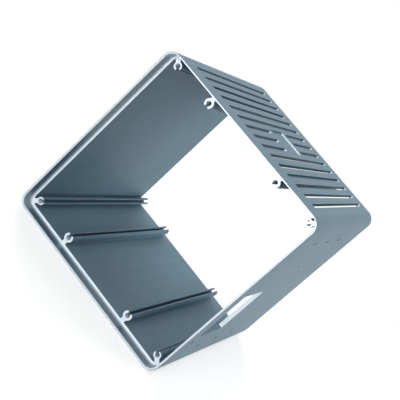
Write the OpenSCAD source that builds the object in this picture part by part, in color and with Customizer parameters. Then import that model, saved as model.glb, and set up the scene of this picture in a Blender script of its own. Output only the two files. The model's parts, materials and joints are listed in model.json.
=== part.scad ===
// Battery enclosure: one length of extruded aluminium tube, open at both ends.
// Eight screw channels run along the inside for the end covers, of which the four
// in the middle of the base and the roof end short of the rear edge. The front is
// machined out as a seat for a cover, the roof has cooling slots round a shallow
// plate recess, and the right wall has a window and small fixing holes.
// The base rests on Z = 0, the front opening faces -Y, and sizes are millimetres.

/* [Tube] */
// Outside width, left side to right side
width = 200; // [190:1:240]
// Outside height, base to roof
height = 200; // [190:1:240]
// Length of the tube, front edge to rear edge
depth = 251; // [190:1:320]
// Thickness of the base and of both sides
wall_t = 4; // [3:0.1:5]
// Thickness of the roof, which is thinner than the other walls
roof_t = 3.2; // [2.6:0.1:4.5]
// Outside radius of the four long edges
corner_r = 11; // [9:0.5:14]
// Chamfer that breaks the outer edge at both ends
edge_break = 0.4; // [0.2:0.1:0.8]

/* [Cover seat] */
// How far the seat is machined in from the front edge
seat_depth = 14.5; // [6:0.5:20]
// Lip left outside the seat on the base and sides
lip_t = 2.2; // [1.4:0.1:2.8]
// Lip left outside the seat on the roof
roof_lip_t = 1.4; // [1:0.1:2.2]

/* [Screw channels] */
// Outside diameter of the four channels along the middle of the base and the roof
channel_d = 9; // [8:0.1:10]
// Outside diameter of the four channels in the corners
corner_channel_d = 7.5; // [7:0.1:8.5]
// Bore of every channel, for a thread-forming screw
channel_bore = 4.8; // [4:0.1:5.2]
// Width of the mouth that opens each bore towards the middle of the tube
mouth_w = 2.7; // [1.5:0.1:3.2]
// From the inside face of a wall to the axis of a channel
channel_inset = 7; // [5.5:0.1:9]
// Width of the neck that joins a channel to its wall
neck_w = 4.5; // [3:0.1:6]
// Fillet where a neck meets its wall
neck_fillet = 0.8; // [0.3:0.1:1.2]
// Spacing of the two channels along the base, and of the two along the roof
channel_spacing = 90; // [50:1:140]
// How far before the rear edge the four middle channels end
channel_short = 10; // [0:0.5:18]

/* [Roof slots] */
// Number of slots across the roof
slot_count = 15; // [9:2:15]
// Spacing of the slots, middle to middle
slot_pitch = 11.3; // [8:0.1:11.8]
// Width of a slot
slot_w = 4.2; // [2:0.1:6]
// Length of roof left whole in front of the slots
slot_front = 25; // [20:0.5:45]
// Length of roof left whole behind the slots
slot_rear = 19; // [12:0.5:45]
// Length of roof left whole round the recess, in the slots that meet it
slot_gap = 53; // [46:1:90]
// How deep a slot is where it passes over the neck of a channel
slot_over_neck = 2.2; // [1:0.1:2.4]

/* [Plate recess] */
// Size of the recess across the roof
recess_w = 30.5; // [24:0.5:34]
// Size of the recess along the roof
recess_len = 41; // [20:1:46]
// Depth of the recess
recess_t = 1.5; // [0.5:0.1:2]
// Corner radius of the recess
recess_r = 2; // [1:0.5:8]

/* [Side window] */
// Size of the window along the side
window_len = 57; // [30:1:62]
// Height of the window
window_h = 55; // [30:1:90]
// Corner radius of the window
window_r = 2.5; // [1:0.5:12]
// From the front edge to the middle of the window
window_middle = 50; // [46:1:56]
// From the base to the middle of the window
window_up = 77.3; // [64:0.1:110]

/* [Side holes] */
// Diameter of the six small fixing holes
fixing_d = 4.3; // [3:0.1:6]
// Spacing of the fixing holes along the side
fixing_pitch = 48; // [40:1:60]
// Height between the lower and the upper row of fixing holes
fixing_rise = 145; // [135:1:160]
// From the front edge to the middle pair of holes
fixing_middle = 111; // [104:1:130]
// Diameter of the two larger holes
gland_d = 6.5; // [4:0.1:12]
// Height between the two larger holes
gland_rise = 77; // [60:1:100]
// Diameter of the single hole near the lower front corner of the window
earth_d = 4.3; // [3:0.1:6]
// How far in front of the window's front edge that hole is
earth_ahead = 1.5; // [-20:0.5:2]
// How far below the window's lower edge it is
earth_below = 7.8; // [5:0.1:16]

/* [Hidden] */
$fn = 96;

// How far a cutting shape runs past the face that it cuts
past = 1;
front = -depth / 2;
rear = depth / 2;
// The slots' ends, and the middle between them, where the recess is
slots_start = front + slot_front;
slots_end = rear - slot_rear;
slots_middle = (slots_start + slots_end) / 2;
cavity_w = width - 2 * wall_t;
cavity_h = height - wall_t - roof_t;
cavity_r = corner_r - wall_t;
cavity_up = wall_t + cavity_h / 2;
seat_w = width - 2 * lip_t;
seat_h = height - lip_t - roof_lip_t;
seat_r = corner_r - lip_t;
seat_up = lip_t + seat_h / 2;

// Axes of the channels, across and up
channel_x = cavity_w / 2 - channel_inset;
channel_low = wall_t + channel_inset;
channel_high = height - roof_t - channel_inset;
// A corner channel's neck runs on the diagonal to the round inside corner
corner_reach = (channel_inset - cavity_r) * sqrt(2) + cavity_r;
// How far the round lobes beside a mouth stand out past the ring that they end
lobe_out = 0.15;
// The necks run on into the walls, and show as the floor of the slots over them
neck_root = roof_t - slot_over_neck;

// The tube as a solid bar, with the outer edge of both ends broken by a chamfer: a bar
// from side to side, a bar from base to roof, and a round bar in each corner
module bar() {
    straight_w = width - 2 * corner_r;
    straight_h = height - 2 * corner_r;
    linear_extrude(straight_h, center = true) broken_outline(width);
    rotate([0, -90, 0]) linear_extrude(straight_w, center = true) broken_outline(height);
    for (i = [-1, 1], j = [-1, 1])
        translate([i * straight_w / 2, 0, j * straight_h / 2]) rotate([-90, 0, 0])
            rotate_extrude() intersection() {
                broken_outline(2 * corner_r);
                translate([0, front]) square([corner_r, depth]);
            }
}

// Outline of a bar seen square to its length, with its four corners cut off
module broken_outline(across) {
    side = across / 2;
    flank = side - edge_break;
    shoulder = rear - edge_break;
    polygon([[-side, -shoulder], [-flank, front], [flank, front], [side, -shoulder],
             [side, shoulder], [flank, rear], [-flank, rear], [-side, shoulder]]);
}

// A rectangle about the origin with true round corners
module round_rect(w, h, r) {
    square([w - 2 * r, h], center = true);
    square([w, h - 2 * r], center = true);
    for (i = [-1, 1], j = [-1, 1])
        translate([i * (w / 2 - r), j * (h / 2 - r)]) circle(r);
}

// Carries an outline drawn across and up along the tube from one depth to another
module along_tube(y0, y1) {
    translate([0, y1, 0]) rotate([90, 0, 0]) linear_extrude(y1 - y0) children();
}

// Carries an outline drawn along and up out through the right wall
module through_side() {
    translate([width / 2 - wall_t - past, 0, 0]) rotate([90, 0, 90])
        linear_extrude(wall_t + 2 * past) children();
}

// Outline of a screw channel of diameter d on its neck, with the wall below its axis at the
// distance reach. The ring ends in two round lobes, one on each side of the mouth, which
// are as thick as the ring and lie a little further out, clear of the bore.
module channel_outline(d, reach) {
    lobe_d = (d - channel_bore) / 2;
    lobe_from_axis = (d + channel_bore) / 4 + lobe_out;
    lobe_turn = asin((mouth_w + lobe_d) / 2 / lobe_from_axis);
    mouth_x = 2 * d * sin(lobe_turn);
    mouth_y = 2 * d * cos(lobe_turn);
    root_w = neck_w + 2 * neck_fillet;
    difference() {
        union() {
            circle(d = d);
            translate([-neck_w / 2, -reach - neck_root]) square([neck_w, reach + neck_root]);
            difference() {
                translate([-root_w / 2, -reach]) square([root_w, neck_fillet]);
                for (i = [-1, 1])
                    translate([i * root_w / 2, neck_fillet - reach]) circle(neck_fillet);
            }
        }
        circle(d = channel_bore);
        polygon([[0, 0], [-mouth_x, mouth_y], [mouth_x, mouth_y]]);
    }
    for (i = [-1, 1])
        rotate(i * lobe_turn) translate([0, lobe_from_axis]) circle(d = lobe_d);
}

// The four channels on the diagonals of the corners
module corner_channels() {
    for (i = [-1, 1]) {
        translate([i * channel_x, channel_low]) rotate(i * 45)
            channel_outline(corner_channel_d, corner_reach);
        translate([i * channel_x, channel_high]) rotate(i * 135)
            channel_outline(corner_channel_d, corner_reach);
    }
}

// The two channels on the base and the two under the roof
module middle_channels() {
    for (i = [-1, 1]) {
        translate([i * channel_spacing / 2, channel_low])
            channel_outline(channel_d, channel_inset);
        translate([i * channel_spacing / 2, channel_high]) rotate(180)
            channel_outline(channel_d, channel_inset);
    }
}

// A slot with round ends between two depths
module slot_outline(x, y0, y1) {
    r = slot_w / 2;
    translate([x - r, y0 + r]) square([slot_w, y1 - y0 - slot_w]);
    translate([x, y0 + r]) circle(r);
    translate([x, y1 - r]) circle(r);
}

// The slots, of which those that meet the recess stop short of it on both sides
module slot_outlines() {
    for (i = [0 : slot_count - 1]) {
        x = (i - (slot_count - 1) / 2) * slot_pitch;
        if (abs(x) - slot_w / 2 < recess_w / 2) {
            slot_outline(x, slots_start, slots_middle - slot_gap / 2);
            slot_outline(x, slots_middle + slot_gap / 2, slots_end);
        } else
            slot_outline(x, slots_start, slots_end);
    }
}

module side_holes() {
    for (i = [-1, 0, 1], j = [-1, 1])
        translate([front + fixing_middle + i * fixing_pitch, (height + j * fixing_rise) / 2])
            circle(d = fixing_d);
    for (j = [-1, 1])
        translate([front + fixing_middle, (height + j * gland_rise) / 2]) circle(d = gland_d);
    translate([front + window_middle - window_len / 2 - earth_ahead,
               window_up - window_h / 2 - earth_below]) circle(d = earth_d);
}

// The tube's walls with everything that is cut in them
module walls() {
    difference() {
        translate([0, 0, height / 2]) bar();
        translate([0, 0, cavity_up]) along_tube(front - past, rear + past)
            round_rect(cavity_w, cavity_h, cavity_r);
        translate([0, 0, seat_up]) along_tube(front - past, front + seat_depth)
            round_rect(seat_w, seat_h, seat_r);
        translate([0, 0, height - roof_t - past]) linear_extrude(roof_t + 2 * past)
            slot_outlines();
        translate([0, slots_middle, height - recess_t]) linear_extrude(recess_t + past)
            round_rect(recess_w, recess_len, recess_r);
        through_side() translate([front + window_middle, window_up])
            round_rect(window_len, window_h, window_r);
        through_side() side_holes();
    }
}

module housing() {
    color("lightslategray") {
        walls();
        along_tube(front + seat_depth, rear) corner_channels();
        along_tube(front + seat_depth, rear - channel_short) middle_channels();
    }
}

housing();
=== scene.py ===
import json
import math

import bpy
import numpy as np
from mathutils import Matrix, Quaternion, Vector


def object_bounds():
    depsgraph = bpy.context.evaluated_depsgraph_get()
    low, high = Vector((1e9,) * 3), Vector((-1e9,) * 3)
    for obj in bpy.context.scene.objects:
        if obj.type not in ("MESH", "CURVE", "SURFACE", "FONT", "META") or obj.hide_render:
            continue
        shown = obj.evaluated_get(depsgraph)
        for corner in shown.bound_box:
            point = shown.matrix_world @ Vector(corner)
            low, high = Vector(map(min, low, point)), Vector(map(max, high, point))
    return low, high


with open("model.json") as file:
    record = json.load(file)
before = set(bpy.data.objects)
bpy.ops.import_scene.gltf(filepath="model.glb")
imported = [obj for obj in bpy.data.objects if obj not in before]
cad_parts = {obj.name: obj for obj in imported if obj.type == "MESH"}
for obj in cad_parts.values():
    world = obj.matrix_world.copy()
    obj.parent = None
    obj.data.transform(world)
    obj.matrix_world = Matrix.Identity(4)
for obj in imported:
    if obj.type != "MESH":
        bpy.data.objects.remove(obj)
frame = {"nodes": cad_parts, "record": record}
cadLow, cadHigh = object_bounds()
housing = frame["nodes"]["housing"]
mounts = {mount["name"]: mount for mount in frame["record"]["mounts"]}
ledge = mounts["front_corner_screws"]["pos_m"]  # the middle of the ledge behind the seat
mm = 0.001
print("frame loaded:", ", ".join(sorted(frame["nodes"])))


def hexToLinear(hexColour):
    # sRGB hex to linear light: the standard curve, a straight line near black and a power above it
    srgb = np.array([int(hexColour[i:i + 2], 16) for i in (1, 3, 5)]) / 255
    linear = np.where(srgb <= 0.04045, srgb / 12.92, ((srgb + 0.055) / 1.055) ** 2.4)
    return (*linear.tolist(), 1.0)


def addNode(tree, kind, feeds=None, **settings):
    # one node with its settings; feeds gives each input a value, or an output to link from.
    # Inputs that share a name go by number: a Mix node's are 2 and 3 for plain values, and 6
    # and 7 for colours, whose output is 2.
    node = tree.nodes.new(kind)
    for name, value in settings.items():
        setattr(node, name, value)
    for socket, feed in (feeds or {}).items():
        if isinstance(feed, bpy.types.NodeSocket):
            tree.links.new(feed, node.inputs[socket])
        else:
            node.inputs[socket].default_value = feed
    return node


# The camera stands in front, above and to the right, and is turned on its own axis
shot = {
    "place": (0.1918, -0.8413, 0.3367),
    "aim": (-0.0017, -0.0008, 0.0985),
    "rollDegrees": 47.64,
    "lensMm": 81.75,
    "sensorMm": 36.0,
    "shift": (-0.0204, 0.0256),
}


def makeCamera(values):
    data = bpy.data.cameras.new("camera")
    data.sensor_width = values["sensorMm"]
    data.lens = values["lensMm"]
    data.shift_x, data.shift_y = values["shift"]
    camera = bpy.data.objects.new("camera", data)
    bpy.context.scene.collection.objects.link(camera)
    place = Vector(values["place"])
    level = (Vector(values["aim"]) - place).to_track_quat("-Z", "Y")
    roll = Quaternion((0, 0, 1), math.radians(values["rollDegrees"]))
    camera.location = place
    camera.rotation_mode = "QUATERNION"
    camera.rotation_quaternion = level @ roll
    bpy.context.scene.camera = camera


makeCamera(shot)
print("camera placed")

# Soft studio light: a dim even sky and large soft boxes. Those behind the object give its
# smooth faces no gloss, as if they stood behind a white screen.
studio = {
    "skyEven": 0.03,
    "skySeen": 1.0,
    "boxes": {
        "frontBox": {"from": (0.0, -1.8, 0.35), "size": 1.0, "watts": 21, "inGloss": True},
        "rightBox": {"from": (0.4, -1.75, 0.75), "size": 1.0, "watts": 6.5, "inGloss": True},
        "topBox": {"from": (0.0, 0.0, 1.9), "size": 1.0, "watts": 8.5, "inGloss": True},
        "backRightBox": {"from": (1.2, 1.5, 0.7), "size": 1.0, "watts": 8, "inGloss": False},
        "backLeftBox": {"from": (-1.2, 1.5, 0.7), "size": 1.0, "watts": 24, "inGloss": False},
        "lowBackBox": {"from": (1.5, 1.2, 0.25), "size": 1.0, "watts": 9, "inGloss": False},
    },
    "boxesAim": (0.0, 0.0, 0.1),
    "floorSize": 14.0,
    "floorColour": "#EDEDED",
    "floorLift": 0.55,
    "shadowReach": 0.45,
    "whiteFrom": 0.9,
}


def seenDirectly(tree):
    # one for rays from the camera and for those that a gloss or a glass passes on
    path = addNode(tree, "ShaderNodeLightPath")
    seen = addNode(tree, "ShaderNodeMath", {0: path.outputs["Is Camera Ray"],
                                            1: path.outputs["Is Glossy Ray"]}, operation="MAXIMUM")
    return addNode(tree, "ShaderNodeMath", {0: seen.outputs[0],
                                            1: path.outputs["Is Transmission Ray"]},
                   operation="MAXIMUM").outputs[0]


def makeSky(values):
    # an even level for the light, and white for what is seen
    world = bpy.data.worlds.new("studioSky")
    world.use_nodes = True
    tree = world.node_tree
    tree.nodes.clear()
    level = addNode(tree, "ShaderNodeMapRange", {"Value": seenDirectly(tree),
                                                 "To Min": values["skyEven"],
                                                 "To Max": values["skySeen"]})
    sky = addNode(tree, "ShaderNodeBackground", {"Color": (1, 1, 1, 1),
                                                 "Strength": level.outputs[0]})
    addNode(tree, "ShaderNodeOutputWorld", {"Surface": sky.outputs[0]})
    bpy.context.scene.world = world


def makeBox(name, values, aim):
    data = bpy.data.lights.new(name, "AREA")
    data.shape = "SQUARE"
    data.size = values["size"]
    data.energy = values["watts"]
    lamp = bpy.data.objects.new(name, data)
    bpy.context.scene.collection.objects.link(lamp)
    place = Vector(values["from"])
    lamp.location = place
    lamp.rotation_mode = "QUATERNION"
    lamp.rotation_quaternion = (Vector(aim) - place).to_track_quat("-Z", "Y")
    lamp.visible_camera = False
    lamp.visible_glossy = values["inGloss"]


def makeFloor(values):
    # a flat square at the object's base: paper that takes the shadow near the object and is
    # seen as plain white further out
    half = values["floorSize"] / 2
    corners = np.array([[-1, -1, 0], [1, -1, 0], [1, 1, 0], [-1, 1, 0]]) * half
    corners[:, 2] = cadLow.z
    mesh = bpy.data.meshes.new("floor")
    mesh.from_pydata(corners.tolist(), [], [[0, 1, 2, 3]])
    floor = bpy.data.objects.new("floor", mesh)
    bpy.context.scene.collection.objects.link(floor)
    matt = bpy.data.materials.new("mattPaperFloor")
    matt.use_nodes = True
    tree = matt.node_tree
    tree.nodes.clear()
    seen = seenDirectly(tree)
    lift = addNode(tree, "ShaderNodeMath", {0: seen, 1: values["floorLift"]},
                   operation="MULTIPLY")
    paper = addNode(tree, "ShaderNodeBsdfDiffuse", {"Color": hexToLinear(values["floorColour"])})
    glow = addNode(tree, "ShaderNodeEmission", {"Strength": lift.outputs[0]})
    near = addNode(tree, "ShaderNodeAddShader", {0: paper.outputs[0], 1: glow.outputs[0]})
    white = addNode(tree, "ShaderNodeEmission", {"Strength": values["skySeen"]})
    place = addNode(tree, "ShaderNodeTexCoord")
    away = addNode(tree, "ShaderNodeVectorMath", {0: place.outputs["Object"]},
                   operation="LENGTH")
    whiter = addNode(tree, "ShaderNodeMapRange", {"Value": away.outputs["Value"],
                                                  "From Min": values["shadowReach"],
                                                  "From Max": values["whiteFrom"],
                                                  "To Max": seen},
                     interpolation_type="SMOOTHSTEP")
    both = addNode(tree, "ShaderNodeMixShader", {0: whiter.outputs[0], 1: near.outputs[0],
                                                 2: white.outputs[0]})
    addNode(tree, "ShaderNodeOutputMaterial", {"Surface": both.outputs[0]})
    mesh.materials.append(matt)


makeSky(studio)
for boxName, boxValues in studio["boxes"].items():
    makeBox(boxName, boxValues, studio["boxesAim"])
makeFloor(studio)
bpy.context.scene.view_settings.view_transform = "Standard"
print("studio lit")

# Extruded aluminium, etched matt and anodised slate blue-grey. To the eye: a dry satin skin
# with hardly any gloss, straight faint die lines along the tube, a fine grain from the etch
# and a slow drift of the dye from place to place.
coat = {
    "deepColour": "#708FA0",
    "lightColour": "#819CAB",
    "roughness": 0.5,
    "specularLevel": 0.15,
    "driftMm": 85,
    "driftShare": 0.9,
    "driftSeed": 3.0,
    "dieLineMm": 2.6,  # really 0.2 to 1.5 mm apart, drawn coarser so that they show
    "dieLineLengthMm": 420,
    "dieLineShare": 0.7,
    "dieLineDeepMm": 0.012,
    "dieLineSeed": 7.0,
    "grainMm": 0.9,  # really about 0.05 mm, drawn coarser so that it shows
    "grainDeepMm": 0.006,
    "grainRoughness": 0.12,
    "grainSeed": 11.0,
    "noiseDetail": 2.0,  # of the cutter's marks too
}

# Faces sawn or milled square across the tube, after the dye: bare aluminium, which shows the
# cutter's straight marks; its light colour is partly a painted highlight on these faces
cut = {
    "colour": "#C9D3DB",
    "metallic": 0.3,
    "roughness": 0.5,
    "facingFrom": 0.7,
    "facingTo": 0.95,
    "markMm": 0.9,  # really 0.1 to 0.2 mm apart, drawn coarser so that they show
    "markLengthMm": 40,
    "markDeepMm": 0.004,
    "markRoughness": 0.15,
    "markSeed": 5.0,
}

# The seat of the cover: a ledge given a painted shine, and walls cut by the same cutter,
# drawn darker as painted shade and lightened by painted light towards the ledge, a painted
# reflection of it, and in the round corners. The window's rear edge gets a weaker painted shine.
seat = {
    "paintedShineColour": "#E8F2F9",
    "ledgeMm": 1.0,
    "windowHalfMm": 28.5,
    "windowEdgeMm": 2.6,
    "windowEdgeShare": 0.5,
    "wallColour": "#5F7785",
    "metallic": 0.25,
    "roughness": 0.3,
    "blendMm": 0.3,
    "brightMm": 7.0,
    "brightShare": 0.85,
    "cornerLightFromMm": 83,
    "cornerLightToMm": 94,
    "cornerLightShare": 0.22,
}

# The bores of the screw channels: drawn dark inside as painted shade, where little light comes,
# and reamed at the front, where the screws start, with painted light there as well
bore = {
    "colour": "#567080",
    "clearMm": 0.06,
    "reamedMm": 15,
    "reamedMetallic": 0.35,
}

# The long walls of the roof's slots, drawn a shade deeper as painted shade in the narrow slots.
# Their round ends and the recess's get the ledge's painted shine.
slotWall = {
    "colour": "#4F6D7D",
    "roofMm": 3.2,
    "halfWidthMm": 88,
    "levelTo": 0.5,  # an upright face's normal has less of it pointing up or down
}

# The small holes drilled in the side, drawn dark as painted shade, which show as dark dots
drilled = {
    "colour": "#38444D",
    "slack": 1.03,  # how far out a hole's wall still counts, in radii
    "depthShare": 0.1,  # how much the way along the axis counts
}

# Rims where handling has rubbed the dye thin. It starts to thin where the dot product of the
# rounded normal and the surface's own falls to startsAt, and is thinnest from thinnestAt on.
rim = {
    "radiusMm": 0.7,
    "share": 0.3,
    "startsAt": 0.98,
    "thinnestAt": 0.8,
    "bevelSamples": 4,
}


def stretchedNoise(tree, place, acrossMm, alongMm, seed):
    # noise in spots of one size across the tube and another along it
    scaled = addNode(tree, "ShaderNodeMapping", {
        "Vector": place.outputs["Object"],
        "Location": (seed, seed, seed),
        "Scale": (1 / (acrossMm * mm), 1 / (alongMm * mm), 1 / (acrossMm * mm)),
    })
    return addNode(tree, "ShaderNodeTexNoise", {
        "Vector": scaled.outputs[0], "Scale": 1.0,
        "Detail": coat["noiseDetail"]}).outputs["Fac"]


def smallHoles(tree, place):
    # one in the small drilled holes of the side: a hole's wall is one radius from its axis,
    # with the way along the axis shortened so that the far side of the tube stays outside
    flatten = Vector((drilled["depthShare"], 1, 1))
    single = mounts["side_single_hole"]
    radius = single["dims"]["r_mm"] * mm
    centres = [single["pos_m"]]
    for name in ("side_fixings", "side_middle_fixings"):
        y, z = mounts[name]["pos_m"][1:]
        alongHalf = mounts[name]["dims"].get("spacing_x_mm", 0) / 2 * mm
        upHalf = mounts[name]["dims"]["spacing_y_mm"] / 2 * mm
        centres += [(single["pos_m"][0], y + i, z + k)
                    for i in sorted({-alongHalf, alongHalf}) for k in (-upHalf, upHalf)]
    flat = addNode(tree, "ShaderNodeVectorMath", {0: place.outputs["Object"], 1: flatten},
                   operation="MULTIPLY")
    nearest = (cadHigh - cadLow).length  # the box's diagonal, further than any hole
    for centre in centres:
        away = addNode(tree, "ShaderNodeVectorMath", {0: flat.outputs[0],
                                                      1: Vector(centre) * flatten},
                       operation="DISTANCE")
        nearest = addNode(tree, "ShaderNodeMath", {0: away.outputs["Value"], 1: nearest},
                          operation="MINIMUM").outputs[0]
    return addNode(tree, "ShaderNodeMath", {0: nearest, 1: radius * drilled["slack"]},
                   operation="LESS_THAN").outputs[0]


def squareToTube(tree, place, holes):
    # one where a face lies square across the tube, and none in the small holes
    facing = addNode(tree, "ShaderNodeSeparateXYZ", {0: place.outputs["Normal"]})
    across = addNode(tree, "ShaderNodeMath", {0: facing.outputs["Y"]}, operation="ABSOLUTE")
    square = addNode(tree, "ShaderNodeMapRange", {"Value": across.outputs[0],
                                                  "From Min": cut["facingFrom"],
                                                  "From Max": cut["facingTo"]},
                     interpolation_type="SMOOTHSTEP")
    return addNode(tree, "ShaderNodeMath", {0: square.outputs[0], 1: holes},
                   operation="SUBTRACT", use_clamp=True).outputs[0]


def slotWalls(tree, place):
    # one on upright faces in the thickness of the roof, away from the round long edges
    where = addNode(tree, "ShaderNodeSeparateXYZ", {0: place.outputs["Object"]})
    facing = addNode(tree, "ShaderNodeSeparateXYZ", {0: place.outputs["Normal"]})
    fromMiddle = addNode(tree, "ShaderNodeMath", {0: where.outputs["X"]}, operation="ABSOLUTE")
    level = addNode(tree, "ShaderNodeMath", {0: facing.outputs["Z"]}, operation="ABSOLUTE")
    inRoof = addNode(tree, "ShaderNodeMath", {
        0: where.outputs["Z"], 1: cadHigh.z - slotWall["roofMm"] * mm}, operation="GREATER_THAN")
    between = addNode(tree, "ShaderNodeMath", {
        0: fromMiddle.outputs[0], 1: slotWall["halfWidthMm"] * mm}, operation="LESS_THAN")
    upright = addNode(tree, "ShaderNodeMath", {0: level.outputs[0], 1: slotWall["levelTo"]},
                      operation="LESS_THAN")
    mask = addNode(tree, "ShaderNodeMath", {0: inRoof.outputs[0], 1: between.outputs[0]},
                   operation="MULTIPLY")
    return addNode(tree, "ShaderNodeMath", {0: mask.outputs[0], 1: upright.outputs[0]},
                   operation="MULTIPLY").outputs[0]


def fromLedge(tree, place):
    # the place on the object, measured from the middle of the ledge
    return addNode(tree, "ShaderNodeVectorMath", {0: place.outputs["Object"], 1: ledge},
                   operation="SUBTRACT").outputs[0]


def paintedShineEdges(tree, place):
    # a painted shine on the ledge and the window's rear edge, and how strong it is
    behind = addNode(tree, "ShaderNodeSeparateXYZ", {0: fromLedge(tree, place)}).outputs["Y"]
    onLedge = addNode(tree, "ShaderNodeMath", {0: behind, 1: 0.0, 2: seat["ledgeMm"] * mm},
                      operation="COMPARE")
    windowEdge = mounts["side_window"]["pos_m"][1] - ledge[1] + seat["windowHalfMm"] * mm
    onEdge = addNode(tree, "ShaderNodeMath", {0: behind, 1: windowEdge,
                                              2: seat["windowEdgeMm"] * mm}, operation="COMPARE")
    onEdge = addNode(tree, "ShaderNodeMath", {0: onEdge.outputs[0],
                                              1: seat["windowEdgeShare"]}, operation="MULTIPLY")
    return addNode(tree, "ShaderNodeMath", {0: onLedge.outputs[0], 1: onEdge.outputs[0]},
                   operation="MAXIMUM").outputs[0]


def seatWalls(tree, place):
    # one on the walls in front of the ledge that face the middle of the tube, and how much
    # painted light they get: most towards the ledge, a painted reflection of it, and some in the
    # round corners
    where = fromLedge(tree, place)
    behind = addNode(tree, "ShaderNodeSeparateXYZ", {0: where}).outputs["Y"]
    ahead = addNode(tree, "ShaderNodeMapRange", {"Value": behind,
                                                 "From Min": seat["blendMm"] * mm,
                                                 "From Max": -seat["blendMm"] * mm})
    # on such a wall the dot product is minus its distance from the middle of the tube, which
    # is about the height of that middle, and the limit is half of it
    outwards = addNode(tree, "ShaderNodeVectorMath", {0: where, 1: (1, 0, 1)},
                       operation="MULTIPLY")
    outwards = addNode(tree, "ShaderNodeVectorMath",
                       {0: outwards.outputs[0], 1: place.outputs["Normal"]},
                       operation="DOT_PRODUCT")
    inwards = addNode(tree, "ShaderNodeMath", {0: outwards.outputs["Value"],
                                               1: -ledge[2] / 2}, operation="LESS_THAN")
    walls = addNode(tree, "ShaderNodeMath", {0: ahead.outputs[0], 1: inwards.outputs[0]},
                    operation="MULTIPLY")
    # painted light: a reflection of the bright ledge on the walls near it
    nearLedge = addNode(tree, "ShaderNodeMapRange", {"Value": behind,
                                                     "From Min": -seat["brightMm"] * mm,
                                                     "From Max": 0.0,
                                                     "To Max": seat["brightShare"]},
                        interpolation_type="SMOOTHSTEP")
    sideways = addNode(tree, "ShaderNodeVectorMath", {0: where}, operation="ABSOLUTE")
    sideways = addNode(tree, "ShaderNodeSeparateXYZ", {0: sideways.outputs[0]})
    lesser = addNode(tree, "ShaderNodeMath", {0: sideways.outputs["X"],
                                              1: sideways.outputs["Z"]}, operation="MINIMUM")
    # painted light in the round corners of the seat
    inCorner = addNode(tree, "ShaderNodeMapRange", {"Value": lesser.outputs[0],
                                                    "From Min": seat["cornerLightFromMm"] * mm,
                                                    "From Max": seat["cornerLightToMm"] * mm,
                                                    "To Max": seat["cornerLightShare"]},
                       interpolation_type="SMOOTHSTEP")
    bright = addNode(tree, "ShaderNodeMath", {0: nearLedge.outputs[0], 1: inCorner.outputs[0]},
                     operation="MAXIMUM")
    bright = addNode(tree, "ShaderNodeMath", {0: walls.outputs[0], 1: bright.outputs[0]},
                     operation="MULTIPLY")
    return walls.outputs[0], bright.outputs[0]


def boreWalls(tree, place):
    # one in the bores of the screw channels, and how far they are reamed and lit with painted
    # light: all at the ledge, fading out along them
    corner, middle = mounts["front_corner_screws"], mounts["front_middle_screws"]
    where = addNode(tree, "ShaderNodeVectorMath", {0: fromLedge(tree, place)},
                    operation="ABSOLUTE")
    where = addNode(tree, "ShaderNodeSeparateXYZ", {0: where.outputs[0]})
    offsets = []
    for socket, size in (("X", corner["dims"]["spacing_x_mm"]),
                         ("X", middle["dims"]["spacing_x_mm"]),
                         ("Z", corner["dims"]["spacing_y_mm"])):
        offset = addNode(tree, "ShaderNodeMath", {0: where.outputs[socket],
                                                  1: size / 2 * mm}, operation="SUBTRACT")
        offset = addNode(tree, "ShaderNodeMath", {0: offset.outputs[0]}, operation="ABSOLUTE")
        offsets.append(offset.outputs[0])
    sideways = addNode(tree, "ShaderNodeMath", {0: offsets[0], 1: offsets[1]},
                       operation="MINIMUM")
    fromAxis = addNode(tree, "ShaderNodeCombineXYZ", {"X": sideways.outputs[0],
                                                      "Z": offsets[2]})
    fromAxis = addNode(tree, "ShaderNodeVectorMath", {0: fromAxis.outputs[0]},
                       operation="LENGTH")
    inside = addNode(tree, "ShaderNodeMath", {
        0: fromAxis.outputs["Value"],
        1: (corner["dims"]["hole_r_mm"] + bore["clearMm"]) * mm}, operation="LESS_THAN")
    # painted light at the bores' fronts, fading deeper in
    fade = addNode(tree, "ShaderNodeMapRange", {"Value": where.outputs["Y"],
                                                "From Min": bore["reamedMm"] * mm,
                                                "From Max": 0.0},
                   interpolation_type="SMOOTHSTEP")
    reamedAndLit = addNode(tree, "ShaderNodeMath", {0: inside.outputs[0], 1: fade.outputs[0]},
                     operation="MULTIPLY")
    return inside.outputs[0], reamedAndLit.outputs[0]


def rubbedRims(tree, place):
    # how far the rounded normal leans away from the surface's own, as it does near an edge
    rounded = addNode(tree, "ShaderNodeBevel", {"Radius": rim["radiusMm"] * mm},
                      samples=rim["bevelSamples"])
    surface = addNode(tree, "ShaderNodeNewGeometry")
    same = addNode(tree, "ShaderNodeVectorMath", {0: rounded.outputs[0],
                                                  1: surface.outputs["Normal"]},
                   operation="DOT_PRODUCT")
    return addNode(tree, "ShaderNodeMapRange", {"Value": same.outputs["Value"],
                                                "From Min": rim["startsAt"],
                                                "From Max": rim["thinnestAt"],
                                                "To Max": rim["share"]}).outputs[0]


def findAreas(tree, place):
    # the material's areas: one inside each, or how far it reaches there, and zero outside
    holes = smallHoles(tree, place)
    seatSides, seatPaintedLight = seatWalls(tree, place)
    bores, reamedAndLit = boreWalls(tree, place)
    return {
        "holes": holes,
        "square": squareToTube(tree, place, holes),
        "slots": slotWalls(tree, place),
        "seatSides": seatSides,
        "seatPaintedLight": seatPaintedLight,
        "paintedShine": paintedShineEdges(tree, place),
        "bores": bores,
        "reamedAndLit": reamedAndLit,
        "rims": rubbedRims(tree, place),
    }


def mostOf(tree, areas, *names):
    # the furthest that any of the named areas reaches at a place
    most = areas[names[0]]
    for name in names[1:]:
        most = addNode(tree, "ShaderNodeMath", {0: most, 1: areas[name]},
                       operation="MAXIMUM").outputs[0]
    return most


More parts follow.
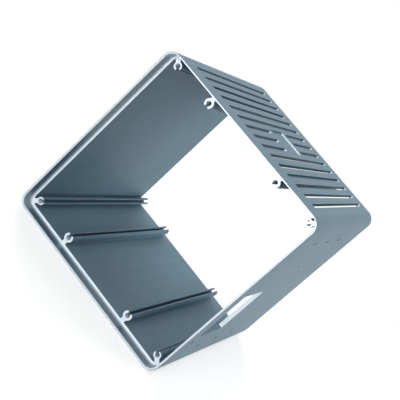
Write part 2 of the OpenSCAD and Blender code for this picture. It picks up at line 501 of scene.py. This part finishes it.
def dyeAndPaintedShade(tree, place, areas, dieLines):
    # the dye, lighter and deeper by the drift and the die lines, and darker as painted shade in
    # the slots, on the seat's walls, in the bores and in the small holes
    drift = stretchedNoise(tree, place, coat["driftMm"], coat["driftMm"], coat["driftSeed"])
    # both noises average a half, and with this offset the shade does too
    even = 0.5 - 0.5 * (coat["driftShare"] + coat["dieLineShare"])
    shade = addNode(tree, "ShaderNodeMath", {0: drift, 1: coat["driftShare"], 2: even},
                    operation="MULTIPLY_ADD")
    shade = addNode(tree, "ShaderNodeMath", {0: dieLines, 1: coat["dieLineShare"],
                                             2: shade.outputs[0]}, operation="MULTIPLY_ADD")
    dyeAndShade = addNode(tree, "ShaderNodeMix", {"Factor": shade.outputs[0],
                                          6: hexToLinear(coat["deepColour"]),
                                          7: hexToLinear(coat["lightColour"])},
                  data_type="RGBA")
    # painted shade: darker colours in the slots, on the seat's walls, in the bores and in the
    # small holes
    for area, deep in (("slots", slotWall["colour"]), ("seatSides", seat["wallColour"]),
                       ("bores", bore["colour"]), ("holes", drilled["colour"])):
        dyeAndShade = addNode(tree, "ShaderNodeMix", {"Factor": areas[area], 6: dyeAndShade.outputs[2],
                                              7: hexToLinear(deep)}, data_type="RGBA")
    return dyeAndShade.outputs[2]


def finishedColour(tree, areas, dyeAndShade):
    # bare metal over the dye on the cut faces, partly a painted highlight there, and on the rims;
    # painted light in the bores' fronts and on the seat's walls, and a painted shine, brighter
    # still, on the ledge, the window's rear edge and the slots' ends
    shown = mostOf(tree, areas, "square", "rims", "reamedAndLit", "seatPaintedLight")
    paintedShineShare = mostOf(tree, areas, "reamedAndLit", "seatPaintedLight", "paintedShine", "slots")
    metal = addNode(tree, "ShaderNodeMix", {"Factor": paintedShineShare,
                                            6: hexToLinear(cut["colour"]),
                                            7: hexToLinear(seat["paintedShineColour"])},
                    data_type="RGBA")
    return addNode(tree, "ShaderNodeMix", {"Factor": shown, 6: dyeAndShade, 7: metal.outputs[2]},
                   data_type="RGBA").outputs[2]


def metallicLevel(tree, areas):
    # none on the dye, and where areas meet the higher of theirs
    metallic = 0.0
    for area, level in (("square", cut["metallic"]), ("seatSides", seat["metallic"]),
                        ("reamedAndLit", bore["reamedMetallic"])):
        own = addNode(tree, "ShaderNodeMath", {0: areas[area], 1: level},
                      operation="MULTIPLY")
        metallic = addNode(tree, "ShaderNodeMath", {0: metallic, 1: own.outputs[0]},
                           operation="MAXIMUM").outputs[0]
    return metallic


def roughnessLevel(tree, areas, grain, marks):
    # varied by the etch's grain on the coat and by the cutter's marks on bare metal, and even
    # on the seat's walls
    levels = []
    for pattern, middle, spread in ((grain, coat["roughness"], coat["grainRoughness"]),
                                    (marks, cut["roughness"], cut["markRoughness"])):
        level = addNode(tree, "ShaderNodeMapRange", {"Value": pattern,
                                                     "To Min": middle - spread / 2,
                                                     "To Max": middle + spread / 2})
        levels.append(level.outputs[0])
    onCoat, onMetal = levels
    dull = addNode(tree, "ShaderNodeMix", {"Factor": areas["seatSides"], 2: onCoat,
                                           3: seat["roughness"]})
    return addNode(tree, "ShaderNodeMix", {"Factor": mostOf(tree, areas, "square", "reamedAndLit"),
                                           2: dull.outputs[0], 3: onMetal}).outputs[0]


def finishedRelief(tree, areas, grain, dieLines, marks):
    # the normal, by a relief in metres: grain and die lines on the coat, marks on cut faces
    relief = addNode(tree, "ShaderNodeMath", {0: grain, 1: coat["grainDeepMm"] * mm},
                     operation="MULTIPLY")
    relief = addNode(tree, "ShaderNodeMath", {0: dieLines, 1: coat["dieLineDeepMm"] * mm,
                                              2: relief.outputs[0]}, operation="MULTIPLY_ADD")
    marked = addNode(tree, "ShaderNodeMath", {0: marks, 1: cut["markDeepMm"] * mm},
                     operation="MULTIPLY")
    relief = addNode(tree, "ShaderNodeMix", {"Factor": areas["square"], 2: relief.outputs[0],
                                             3: marked.outputs[0]})
    return addNode(tree, "ShaderNodeBump", {"Height": relief.outputs[0],
                                            "Distance": 1.0}).outputs[0]


def anodisedExtrusion():
    material = bpy.data.materials.new("satinAnodisedExtrusion")
    material.use_nodes = True
    tree = material.node_tree
    tree.nodes.clear()
    place = addNode(tree, "ShaderNodeTexCoord")
    areas = findAreas(tree, place)
    dieLines = stretchedNoise(tree, place, coat["dieLineMm"], coat["dieLineLengthMm"],
                              coat["dieLineSeed"])
    grain = stretchedNoise(tree, place, coat["grainMm"], coat["grainMm"], coat["grainSeed"])
    marks = stretchedNoise(tree, place, cut["markMm"], cut["markLengthMm"], cut["markSeed"])
    dyeAndShade = dyeAndPaintedShade(tree, place, areas, dieLines)
    surface = addNode(tree, "ShaderNodeBsdfPrincipled", {
        "Base Color": finishedColour(tree, areas, dyeAndShade),
        "Metallic": metallicLevel(tree, areas),
        "Roughness": roughnessLevel(tree, areas, grain, marks),
        "Normal": finishedRelief(tree, areas, grain, dieLines, marks),
        "Specular IOR Level": coat["specularLevel"],
    })
    addNode(tree, "ShaderNodeOutputMaterial", {"Surface": surface.outputs[0]})
    return material


housing.data.materials.clear()
housing.data.materials.append(anodisedExtrusion())
print("housing finished")
